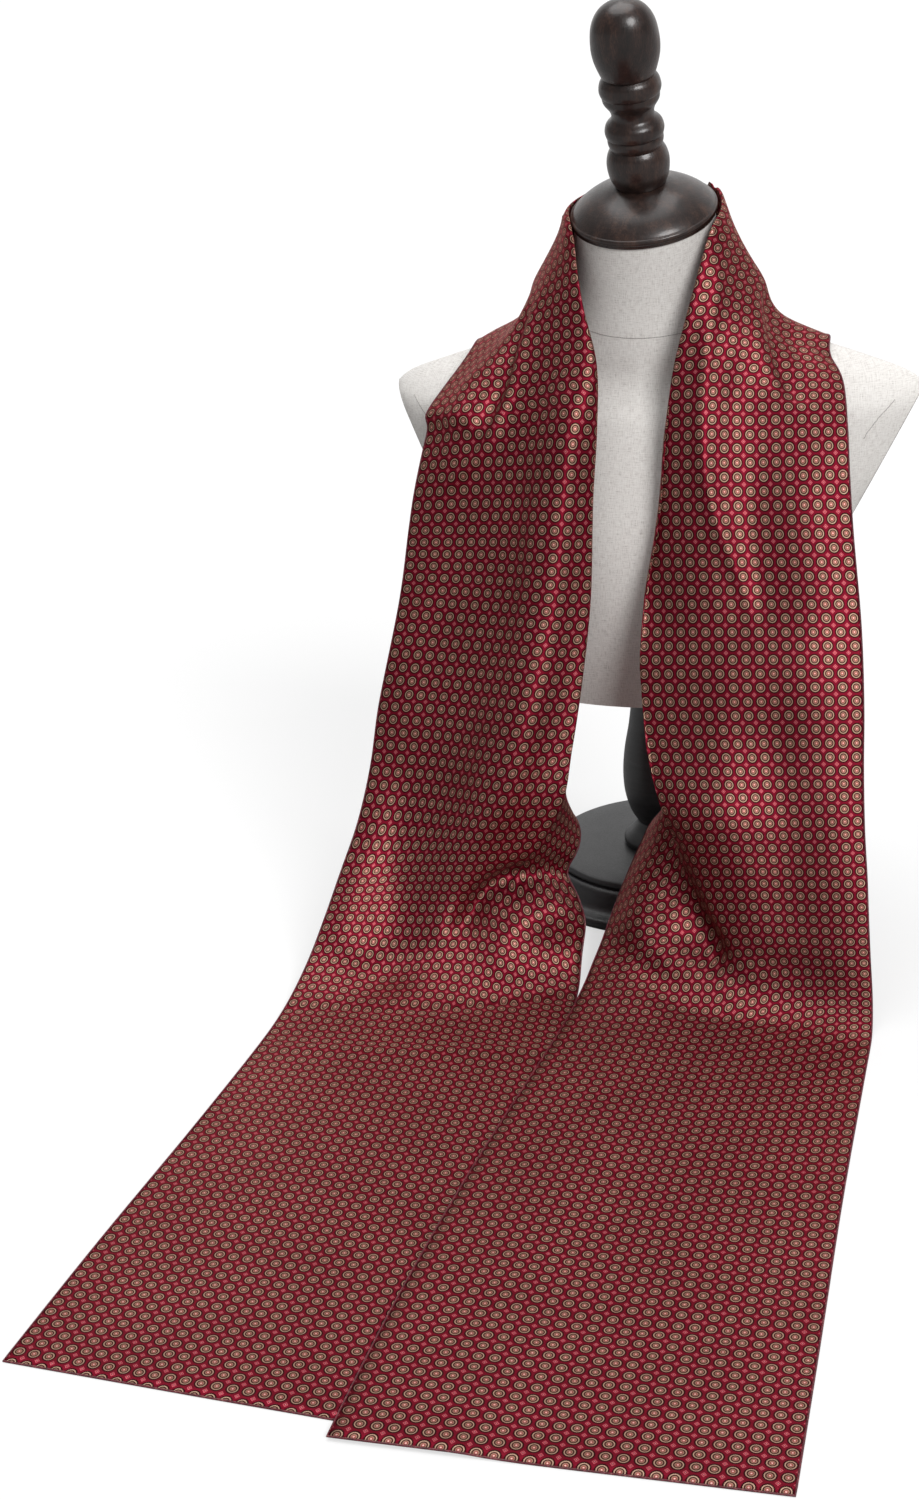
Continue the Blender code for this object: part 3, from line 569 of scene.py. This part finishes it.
# Creases, laid on the flat cloth: side, places as (distance from the outer hem, distance
# from the nape), height out of the cloth, spread towards the outer hem, spread towards the fold,
# and how rounded it is, from 1 for a pinch to 2 for a swell. Where one runs across the cloth, its
# first spread is the one towards the scarf's end.
CREASE_STEPS = 8
CREASE_FADE = 0.22
CREASES = [
    (1, [(0.134, 0.105), (0.128, 0.140), (0.124, 0.172), (0.123, 0.211), (0.119, 0.254),
         (0.121, 0.290), (0.119, 0.321), (0.116, 0.345), (0.106, 0.384), (0.094, 0.416),
         (0.087, 0.446), (0.080, 0.490)], 0.0044, 0.0048, 0.0056, 1.3),
    (1, [(0.070, 0.140), (0.061, 0.179), (0.060, 0.204), (0.057, 0.232), (0.051, 0.252),
         (0.044, 0.270), (0.032, 0.290)], -0.0065, 0.0060, 0.0060, 1.4),
    (1, [(0.090, 0.230), (0.085, 0.282), (0.081, 0.340), (0.079, 0.407), (0.076, 0.480)],
     -0.0060, 0.0480, 0.0240, 2.0),
    (1, [(0.048, 0.300), (0.040, 0.380), (0.040, 0.470), (0.046, 0.560), (0.050, 0.640)],
     0.0026, 0.0300, 0.0300, 2.0),
    (1, [(0.216, 0.575), (0.208, 0.612), (0.196, 0.664), (0.186, 0.690), (0.176, 0.712),
         (0.152, 0.741), (0.136, 0.760)], -0.0140, 0.0125, 0.0150, 2.0),
    (1, [(0.165, 0.560), (0.160, 0.640), (0.150, 0.690), (0.130, 0.735), (0.105, 0.780)],
     0.0060, 0.0480, 0.0150, 2.0),
    (1, [(0.174, 0.240), (0.172, 0.330), (0.170, 0.420), (0.168, 0.500)],
     -0.0080, 0.0250, 0.0180, 2.0),
    (1, [(0.078, 0.480), (0.076, 0.600), (0.074, 0.680), (0.074, 0.760), (0.080, 0.880)],
     -0.0095, 0.0520, 0.0900, 2.0),
    (1, [(0.256, 0.620), (0.244, 0.665), (0.226, 0.706), (0.204, 0.738), (0.176, 0.762)],
     0.0050, 0.0120, 0.0140, 2.0),
    (1, [(0.232, 0.662), (0.227, 0.676), (0.208, 0.712), (0.178, 0.747), (0.149, 0.767),
         (0.121, 0.791), (0.099, 0.807)], 0.0022, 0.0034, 0.0038, 1.4),
    (1, [(0.276, 0.690), (0.255, 0.715), (0.228, 0.743), (0.201, 0.765), (0.180, 0.783),
         (0.162, 0.802), (0.142, 0.816), (0.116, 0.840)], -0.0075, 0.0105, 0.0140, 2.0),
    (-1, [(0.106, 0.170), (0.097, 0.216), (0.092, 0.239), (0.087, 0.260), (0.082, 0.278),
          (0.076, 0.297), (0.068, 0.315), (0.055, 0.330), (0.041, 0.342), (0.028, 0.354),
          (0.014, 0.368)], 0.0068, 0.0036, 0.0050, 1.2),
    (-1, [(0.095, 0.185), (0.088, 0.218), (0.082, 0.242), (0.076, 0.264), (0.068, 0.286),
          (0.056, 0.306)], -0.0060, 0.0080, 0.0045, 1.6),
    (-1, [(-0.036, 0.284), (0.007, 0.290), (0.033, 0.296), (0.049, 0.300), (0.070, 0.307)],
     0.0065, 0.0040, 0.0200, 1.6),
    (-1, [(0.158, 0.205), (0.154, 0.236), (0.151, 0.277), (0.147, 0.345), (0.145, 0.428),
          (0.152, 0.514), (0.152, 0.561), (0.157, 0.602), (0.161, 0.640), (0.163, 0.680)],
     0.0090, 0.0260, 0.0140, 2.0),
    (-1, [(0.070, 0.290), (0.056, 0.350), (0.048, 0.430), (0.052, 0.522), (0.064, 0.600)],
     -0.0080, 0.0300, 0.0520, 2.0),
    (-1, [(0.146, 0.770), (0.152, 0.744), (0.160, 0.724), (0.167, 0.710), (0.180, 0.697),
          (0.210, 0.685), (0.240, 0.670), (0.274, 0.661), (0.320, 0.650)],
     -0.0165, 0.0150, 0.0125, 2.0),
    (-1, [(0.172, 0.790), (0.186, 0.748), (0.204, 0.724), (0.232, 0.708), (0.274, 0.699),
          (0.320, 0.694)], 0.0070, 0.0260, 0.0170, 2.0),
    (-1, [(0.226, 0.668), (0.258, 0.681), (0.276, 0.688), (0.310, 0.700)],
     -0.0018, 0.0045, 0.0045, 1.5),
    (-1, [(0.036, 0.540), (0.042, 0.614), (0.050, 0.652), (0.062, 0.720), (0.074, 0.768),
          (0.104, 0.830)], -0.0110, 0.0340, 0.0480, 2.0),
    (1, [(0.030, -0.130), (0.034, -0.060), (0.028, 0.020), (0.036, 0.100)],
     0.0030, 0.0060, 0.0090, 1.6),
    (1, [(0.085, -0.110), (0.078, -0.040), (0.082, 0.050), (0.078, 0.120)],
     -0.0030, 0.0070, 0.0100, 1.7),
    (1, [(0.112, -0.070), (0.108, 0.000), (0.112, 0.075)], 0.0020, 0.0050, 0.0070, 1.4),
    (1, [(0.020, 0.930), (0.100, 0.965), (0.160, 0.985), (0.250, 0.960)],
     0.0012, 0.0200, 0.0240, 2.0),
    (1, [(0.010, 1.150), (0.120, 1.175), (0.270, 1.130)], 0.0008, 0.0260, 0.0180, 2.0),
    (-1, [(0.020, 0.870), (0.100, 0.890), (0.190, 0.875), (0.260, 0.850)],
     0.0014, 0.0150, 0.0220, 2.0),
    (-1, [(0.030, 1.060), (0.150, 1.095), (0.250, 1.060)], 0.0009, 0.0220, 0.0200, 2.0)]


def unit(vector):
    """A vector of length one."""
    return vector / np.linalg.norm(vector)


# Where a row of numbers holds each of a section's values
FOLD, OUTER_HEM, INNER_HEM = slice(0, 3), slice(3, 6), slice(6, 9)
BOW, INNER_BOW, SHUT, OUTER_AHEAD, INNER_AHEAD = 9, 10, 11, 12, 13


def section_table(sections):
    """Turn the named rows into rows of numbers that can be interpolated."""
    table = []
    for _, fold, outer, inner, bow, inner_bow, shut, outer_ahead, inner_ahead in sections:
        fold, outer = np.array(fold), np.array(outer)
        if inner is None:
            inner = fold + (outer - fold) * UNDER_STRIPS / OUTER_STRIPS
        table.append(np.concatenate([fold, outer, inner,
                                     [bow, inner_bow, shut, outer_ahead, inner_ahead]]))
    return table


def outward_at(table, at, side):
    """Which way the cloth's outer face looks at a section."""
    behind = between(table, max(at - SLOPE_REACH, 0.0))
    ahead = between(table, min(at + SLOPE_REACH, len(table) - 1.0))
    along = (ahead[FOLD] + ahead[OUTER_HEM]) - (behind[FOLD] + behind[OUTER_HEM])
    here = between(table, at)
    if at < SLOPE_REACH:
        along = np.array((float(side), 0.0, 0.0))
    return unit(side * np.cross(along, here[OUTER_HEM] - here[FOLD]))


def floor_height(point, side):
    """Lowest middle of the wall: on the surface, or over the left end."""
    if side < 0:
        return CLOTH / 2
    share = (OVERLAP_GONE - point[0]) / (OVERLAP_GONE - OVERLAP_FULL)
    return CLOTH / 2 + OVERLAP_RISE * min(max(share, 0.0), 1.0)


def fold_height(side, at, share):
    """How far the largest folds lift the outer layer at one place."""
    height = 0.0
    for fold_side, first, first_share, last, last_share, rise, width in FOLDS:
        along = (at - first) / (last - first)
        if fold_side == side and 0.0 < along < 1.0:
            middle = first_share + (last_share - first_share) * along
            across = (share - middle) / width
            height += rise * math.sin(math.pi * along) * math.exp(-across * across)
    return height


def push_off(trees, point, clearance):
    """Move a point of cloth out until it is clear of the form."""
    for tree in trees:
        spot, normal, _, _ = tree.find_nearest(Vector(point))
        depth = (Vector(point) - spot).dot(normal)
        if depth < clearance:
            point = np.array(Vector(point) + normal * (clearance - depth))
    return point


def section_points(table, at, side, trees):
    """Points across the cloth at one section, from the outer hem to the inner hem."""
    row = between(table, at)
    fold, outer, inner = row[FOLD], row[OUTER_HEM], row[INNER_HEM]
    bow, inner_bow, shut = row[BOW], row[INNER_BOW], min(max(row[SHUT], 0.0), 1.0)
    normal = outward_at(table, at, side)
    layer = []
    for strip in range(OUTER_STRIPS + 1):
        share = strip / OUTER_STRIPS
        rise = bow * 4 * share * (1 - share) + fold_height(side, at, share)
        point = outer + (fold - outer) * share + normal * rise
        layer.append(push_off(trees, point, OFF_FORM + CLOTH / 2 + LAYER_STEP))
    opened = unit(inner - fold)
    half = LAYER_STEP / 2
    rim = fold + shut * (unit(fold - outer) * half - normal * half)
    if shut < 1.0:
        layer[-1] = layer[-1] + (1 - shut) * (outer - fold) * EDGE_PULL
    under = []
    for strip in range(UNDER_STRIPS + 1):
        share = strip / UNDER_STRIPS
        closed = layer[OUTER_STRIPS - strip] - normal * LAYER_STEP
        start = fold + opened * FOLD_EASE
        spread = start + (inner - start) * share + normal * inner_bow * 4 * share * (1 - share)
        under.append(push_off(trees, closed * shut + spread * (1 - shut), OFF_FORM + CLOTH / 2))
    return layer + [push_off(trees, rim, OFF_FORM + CLOTH / 2)] + under


def mesh_tree(item):
    """The surface of a finished piece."""
    shape = bmesh.new()
    shape.from_mesh(item.data)
    tree = BVHTree.FromBMesh(shape)
    shape.free()
    return tree


def row_places(table):
    """Fractional section numbers from nape to end, close together where the cloth bends."""
    places = [0.0]
    for index in range(len(table) - 1):
        here, ahead = table[index], table[index + 1]
        length = max(np.linalg.norm(ahead[OUTER_HEM] - here[OUTER_HEM]),
                     np.linalg.norm(ahead[FOLD] - here[FOLD]))
        flat = max(here[FOLD][2], here[OUTER_HEM][2]) < FLAT_BELOW
        count = max(3, int(round(length / (FLAT_STEP if flat else FINE_STEP))))
        places += [index + (step + 1) / count for step in range(count)]
    return places


def scarf_half(sections, side, trees):
    """Points over one half of the draped scarf, and each row's own section numbers."""
    table = section_table(sections)
    places = row_places(table)
    coarse = np.array([section_points(table, at, side, trees) for at in places])
    turn = OUTER_STRIPS + 1
    last = coarse.shape[1] - 1
    columns = np.concatenate([
        np.linspace(0, OUTER_STRIPS, OUTER_COLUMNS + 1)[:-1],
        np.linspace(OUTER_STRIPS, turn + 1, ROLL_COLUMNS + 1)[:-1],
        np.linspace(turn + 1, last, INNER_COLUMNS + 1)])
    strips = [coarse[:, column] for column in range(last + 1)]
    points = np.stack([between(strips, column) for column in columns], axis=1)
    return points, np.array([between(table, at) for at in places])


def running_length(points, axis):
    """How far each point lies along its row or column."""
    steps = np.linalg.norm(np.diff(points, axis=axis), axis=-1)
    start = np.zeros_like(np.take(steps, [0], axis=axis))
    return np.concatenate([start, np.cumsum(steps, axis=axis)], axis=axis)


def eased(values, lengths):
    """Values along the scarf, each averaged with its neighbours on either side."""
    weights = np.exp(-((lengths[:, None] - lengths[None]) / EASE_REACH) ** 2) * np.gradient(lengths)
    return (weights @ values) / weights.sum(axis=1)


def flat_cut(points, rows, side):
    """Where the points of one half lie on the flat cloth: from the outer hem, and from the nape."""
    across = running_length(points, 1)
    outer_width, whole = across[:, CREST], across[:, -1]
    shut = np.clip(rows[:, SHUT], 0.0, 1.0)
    fold_length = running_length(rows[:, FOLD], 0)
    opened = (1 - shut) * outer_width * (SCARF_WIDTH / whole - 1)
    fold_at = outer_width + eased(opened, fold_length)
    outer_share = across[:, :CREST + 1] / outer_width[:, None]
    inner_share = (across[:, CREST:] - outer_width[:, None]) / (whole - outer_width)[:, None]
    over = outer_share * fold_at[:, None]
    under = fold_at[:, None] + inner_share * (SCARF_WIDTH - fold_at)[:, None]
    over_along = fold_length[:, None] + rows[:, OUTER_AHEAD, None] * (1 - outer_share)
    under_along = fold_length[:, None] + rows[:, INNER_AHEAD, None] * inner_share
    return np.stack([np.concatenate([over, under[:, 1:]], axis=1),
                     side * np.concatenate([over_along, under_along[:, 1:]], axis=1)], axis=2)


def settled(points):
    """Every point clear of the form, and of the surface on which the ends lie."""
    places = points.copy()
    for row in range(len(points)):
        side = -1 if row < left_rows else 1
        for column in range(points.shape[1]):
            clearance = OFF_FORM + (UNDER_ROOM * shut[row] if column < CREST else 0.0)
            spot = push_off(trees, points[row, column], clearance)
            spot[2] = max(spot[2], floor_height(spot, side))
            places[row, column] = spot
    return places


def softened(points):
    """Every point of the cloth averaged with those beside it, and each hem only along itself."""
    soft = points.copy()
    soft[1:-1] = (points[:-2] + 2 * points[1:-1] + points[2:]) / 4
    soft[:, 1:-1] = (soft[:, :-2] + 2 * soft[:, 1:-1] + soft[:, 2:]) / 4
    return soft


def joined(left, right):
    """The left half and the right half as one grid, from the left end to the right end."""
    return np.concatenate([left[::-1], right[1:]])


def crease_height(cloth_map):
    """How far the creases lift each point of the cloth."""
    height = np.zeros(cloth_map.shape[:2])
    for side, places, rise, hem_spread, fold_spread, roundness in CREASES:
        line = np.array(shaped_line(places, CREASE_STEPS * len(places)))
        length = running_length(line, 0)
        nearest = np.full(height.shape, np.inf)
        lift = np.zeros(height.shape)
        for start, end, done in zip(line[:-1], line[1:], length[:-1] / length[-1]):
            step = end - start
            offset = cloth_map * (1.0, side) - start
            share = np.clip((offset @ step) / (step @ step), 0.0, 1.0)
            gap = offset - share[..., None] * step
            distance = np.linalg.norm(gap, axis=2)
            foldward = gap[..., 0] * step[1] - gap[..., 1] * step[0] > 0
            spread = np.where(foldward, fold_spread, hem_spread)
            along = done + share * np.linalg.norm(step) / length[-1]
            ends = np.clip(along / CREASE_FADE, 0, 1) * np.clip((1 - along) / CREASE_FADE, 0, 1)
            shape = np.exp(-(distance / spread) ** roundness) * ends * ends * (3 - 2 * ends)
            lift = np.where(distance < nearest, shape, lift)
            nearest = np.minimum(nearest, distance)
        height += rise * lift
    return height


trees = (bust_tree, mesh_tree(cap))
left_points, left_table = scarf_half(LEFT_SECTIONS, -1, trees)
right_points, right_table = scarf_half(RIGHT_SECTIONS, 1, trees)
points = joined(left_points, right_points)
cloth_map = joined(flat_cut(left_points, left_table, -1), flat_cut(right_points, right_table, 1))
shut = np.clip(joined(left_table, right_table)[:, SHUT], 0.0, 1.0)
face = np.cross(np.gradient(points, axis=1), np.gradient(points, axis=0))
face /= np.linalg.norm(face, axis=2)[..., None]
lifted = face * crease_height(cloth_map)[..., None]
across = running_length(points, 1)
for row in range(len(points)):
    mirrored = 2 * across[row, CREST] - across[row, CREST:]
    over = lifted[row, :CREST + 1]
    under = np.stack([np.interp(mirrored, across[row, :CREST + 1], over[:, axis])
                      for axis in range(3)], axis=1)
    lifted[row, CREST:] = shut[row] * under + (1 - shut[row]) * lifted[row, CREST:]
points += lifted
left_rows = len(left_points)
points = settled(points)
from_nape = np.abs(cloth_map[:, CREST, 1])
neck = np.clip((NECK_REACH - from_nape) / SOFT_FADE, 0.0, 1.0)
foot = FOOT_SHARE * np.clip((from_nape - FOOT_START) / SOFT_FADE, 0.0, 1.0)
points = softened(points)
for _ in range(SOFT_PASSES):
    points = points + np.maximum(neck, foot)[:, None, None] * (softened(points) - points)
points = settled(points)
cloth_map = joined(flat_cut(points[:left_rows][::-1], left_table, -1),
                   flat_cut(points[left_rows - 1:], right_table, 1))
scarf = cloth_grid("silk_scarf", points, cloth_map)

# Silk: fine diagonal twill, printed with ringed medallions in rows, each outer ring a little
# beaded, and with a small diamond in the gap between every four of them
MOTIF_ACROSS = 0.01077
MOTIF_ALONG = 0.01120
GROUND = (0.165, 0.005, 0.017)
RING_BEADS = 18.0
BEAD_STEP = 0.008
DIAMOND_REACH = 0.205
TWILL_STEP = 0.0008
silk = Recipe("burgundy_silk")
weave_map = silk.place(from_map=True)
spread = silk.tree.nodes.new("ShaderNodeSeparateXYZ")
silk.put(spread.inputs[0], weave_map)
repeats = [silk.math("DIVIDE", spread.outputs[0], MOTIF_ACROSS),
           silk.math("DIVIDE", spread.outputs[1], MOTIF_ALONG)]
medallion = [silk.math("SUBTRACT", silk.math("FRACT", repeat), 0.5) for repeat in repeats]
diamond = [silk.math("SUBTRACT", silk.math("FRACT", silk.math("ADD", repeat, 0.5)), 0.5)
           for repeat in repeats]
reach = silk.math("SQRT", silk.math("ADD", silk.math("MULTIPLY", medallion[0], medallion[0]),
                                    silk.math("MULTIPLY", medallion[1], medallion[1])))
corner = silk.math("ADD", silk.math("ABSOLUTE", diamond[0]), silk.math("ABSOLUTE", diamond[1]))
bead_turn = silk.math("MULTIPLY", silk.math("ARCTAN2", medallion[1], medallion[0]), RING_BEADS)
beads = silk.math("MULTIPLY", silk.math("SINE", bead_turn), BEAD_STEP)
medallions = silk.ramp(silk.math("ADD", reach, beads), [
    (0.000, (0.86, 0.62, 0.54)), (0.045, (0.74, 0.42, 0.37)), (0.070, (0.33, 0.080, 0.075)),
    (0.115, (0.27, 0.060, 0.056)), (0.138, (0.32, 0.185, 0.130)), (0.172, (0.32, 0.185, 0.130)),
    (0.195, (0.045, 0.012, 0.011)), (0.260, (0.045, 0.012, 0.011)), (0.280, (0.45, 0.305, 0.215)),
    (0.322, (0.43, 0.285, 0.200)), (0.345, (0.016, 0.002, 0.003)), (0.400, (0.016, 0.002, 0.003)),
    (0.450, GROUND)])
diamonds = silk.ramp(corner, [
    (0.000, (0.78, 0.50, 0.46)), (0.035, (0.50, 0.17, 0.17)), (0.055, (0.14, 0.010, 0.022)),
    (0.085, (0.24, 0.030, 0.045)), (0.115, (0.52, 0.090, 0.120)), (0.170, (0.50, 0.085, 0.110)),
    (0.190, (0.07, 0.004, 0.008)), (0.215, GROUND)])
printed = silk.mix(silk.math("LESS_THAN", corner, DIAMOND_REACH), medallions, diamonds)
cloudy = silk.ramp(silk.noise(weave_map, 14.0, 2.0), [(0.3, 0.86), (0.7, 1.0)])
slant = silk.math("ADD", spread.outputs[0], spread.outputs[1])
twill = silk.math("SINE", silk.math("MULTIPLY", slant, 2 * math.pi / TWILL_STEP))
silk.finish(
    Base_Color=silk.mix(1.0, printed, cloudy, "MULTIPLY"),
    Metallic=0.60, Roughness=0.42, Specular_IOR_Level=0.15, Specular_Tint=(1.0, 0.45, 0.42),
    Sheen_Weight=0.03, Sheen_Roughness=0.4, Sheen_Tint=(0.95, 0.35, 0.35))
silk.bump(twill, 0.00006, 0.5)
finish_piece(scarf, silk.material, 180.0)
SILK_WALL = 0.0004
wall = scarf.modifiers.new("Wall", "SOLIDIFY")
wall.thickness = SILK_WALL
wall.offset = 0.0
bpy.ops.object.modifier_apply(modifier="Wall")
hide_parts("scarf_neck", "scarf_left_front", "scarf_right_front", "scarf_left_end",
            "scarf_right_end")

# Rolled hems: the silk's four edges are rolled once and slip-stitched by hand, so a narrow
# round cord of the cloth runs all round the scarf.
HEM_RADIUS = 0.0007
border = np.concatenate([points[:-1, 0], points[-1, :-1], points[:0:-1, -1], points[0, :0:-1]])
hem_curve = bpy.data.curves.new("rolled_hem", "CURVE")
hem_curve.dimensions = "3D"
hem_curve.bevel_depth = HEM_RADIUS
hem_curve.bevel_resolution = 1
line = hem_curve.splines.new("POLY")
line.points.add(len(border) - 1)
for point, place in zip(line.points, border):
    point.co = (place[0], place[1], max(place[2], HEM_RADIUS), 1.0)
line.use_cyclic_u = True
hem = bpy.data.objects.new("rolled_hem", hem_curve)
bpy.context.scene.collection.objects.link(hem)
bpy.ops.object.select_all(action="DESELECT")
hem.select_set(True)
bpy.context.view_layer.objects.active = hem
bpy.ops.object.convert(target="MESH")
hem = bpy.context.active_object
hem_silk = Recipe("hem_silk")
catch = hem_silk.noise(hem_silk.place(), 500.0, 2.0)
hem_silk.finish(
    Base_Color=hem_silk.ramp(catch, [(0.35, (0.050, 0.006, 0.009)), (0.60, (0.13, 0.012, 0.022)),
                                     (0.72, (0.24, 0.09, 0.08))]),
    Roughness=0.5)
hem_silk.bump(catch, 0.0003)
finish_piece(hem, hem_silk.material, 60.0)

# Studio: a plain pale floor that glows a little, as a light table does, under a soft light
# from the front right and a broad one overhead, with a white backdrop behind the form.
FLOOR_SIZE = 40.0
FLOOR_GLOW = 0.55
# The backdrop: where it starts and is full, looking back, and how bright the room and it are
BACKDROP = {"From Min": 0.35, "From Max": 0.80, "To Min": 0.26, "To Max": 0.85}
# Each light: name, energy, how wide it looks in degrees, the way it shines
LIGHTS = [("key", 2.3, 26.0, (-0.55, 0.62, -0.57)), ("overhead", 1.85, 52.0, (0.12, -0.13, -0.98))]
bpy.ops.object.select_all(action="DESELECT")
bpy.ops.mesh.primitive_plane_add(size=FLOOR_SIZE, location=LEVEL)
floor = bpy.context.active_object
floor.name = "floor"
pale = Recipe("pale_floor")
seen = pale.tree.nodes.new("ShaderNodeLightPath").outputs["Is Camera Ray"]
pale.finish(Base_Color=(0.35, 0.35, 0.35), Roughness=0.9, Emission_Color=(1.0, 1.0, 1.0),
            Emission_Strength=pale.math("MULTIPLY", seen, FLOOR_GLOW))
floor.data.materials.append(pale.material)
world = bpy.data.worlds.new("studio")
bpy.context.scene.world = world
world.use_nodes = True
sky = world.node_tree
way = sky.nodes.new("ShaderNodeSeparateXYZ")
sky.links.new(sky.nodes.new("ShaderNodeTexCoord").outputs["Generated"], way.inputs[0])
backdrop = sky.nodes.new("ShaderNodeMapRange")
backdrop.interpolation_type = "SMOOTHSTEP"
for name, value in BACKDROP.items():
    backdrop.inputs[name].default_value = value
sky.links.new(way.outputs["Y"], backdrop.inputs["Value"])
sky.nodes["Background"].inputs["Color"].default_value = (1.0, 1.0, 1.0, 1.0)
sky.links.new(backdrop.outputs[0], sky.nodes["Background"].inputs["Strength"])
for name, energy, spread_degrees, aim in LIGHTS:
    light = bpy.data.lights.new(name, "SUN")
    light.energy = energy
    light.angle = math.radians(spread_degrees)
    lamp = bpy.data.objects.new(name, light)
    lamp.rotation_euler = Vector(aim).to_track_quat("-Z", "Y").to_euler()
    bpy.context.scene.collection.objects.link(lamp)

# Camera: it stands in front of the form, a little to its left side, and looks down on the
# cloth just in front of it. It is held slightly out of level.
CAMERA_PLACE = Vector((0.36937, -1.87601, 0.89101))
CAMERA_AIM = Vector((-0.15989, -0.09439, 0.15228))
CAMERA_ROLL = math.radians(-3.254)
camera = bpy.data.cameras.new("camera")
camera.sensor_width = 36.0
camera.lens = 55.2
eye = bpy.data.objects.new("camera", camera)
eye.location = CAMERA_PLACE
looking = (CAMERA_AIM - CAMERA_PLACE).to_track_quat("-Z", "Y").to_matrix()
eye.rotation_euler = (looking @ Matrix.Rotation(CAMERA_ROLL, 3, "Z")).to_euler()
bpy.context.scene.collection.objects.link(eye)
bpy.context.scene.camera = eye
bpy.context.scene.view_settings.view_transform = "Standard"
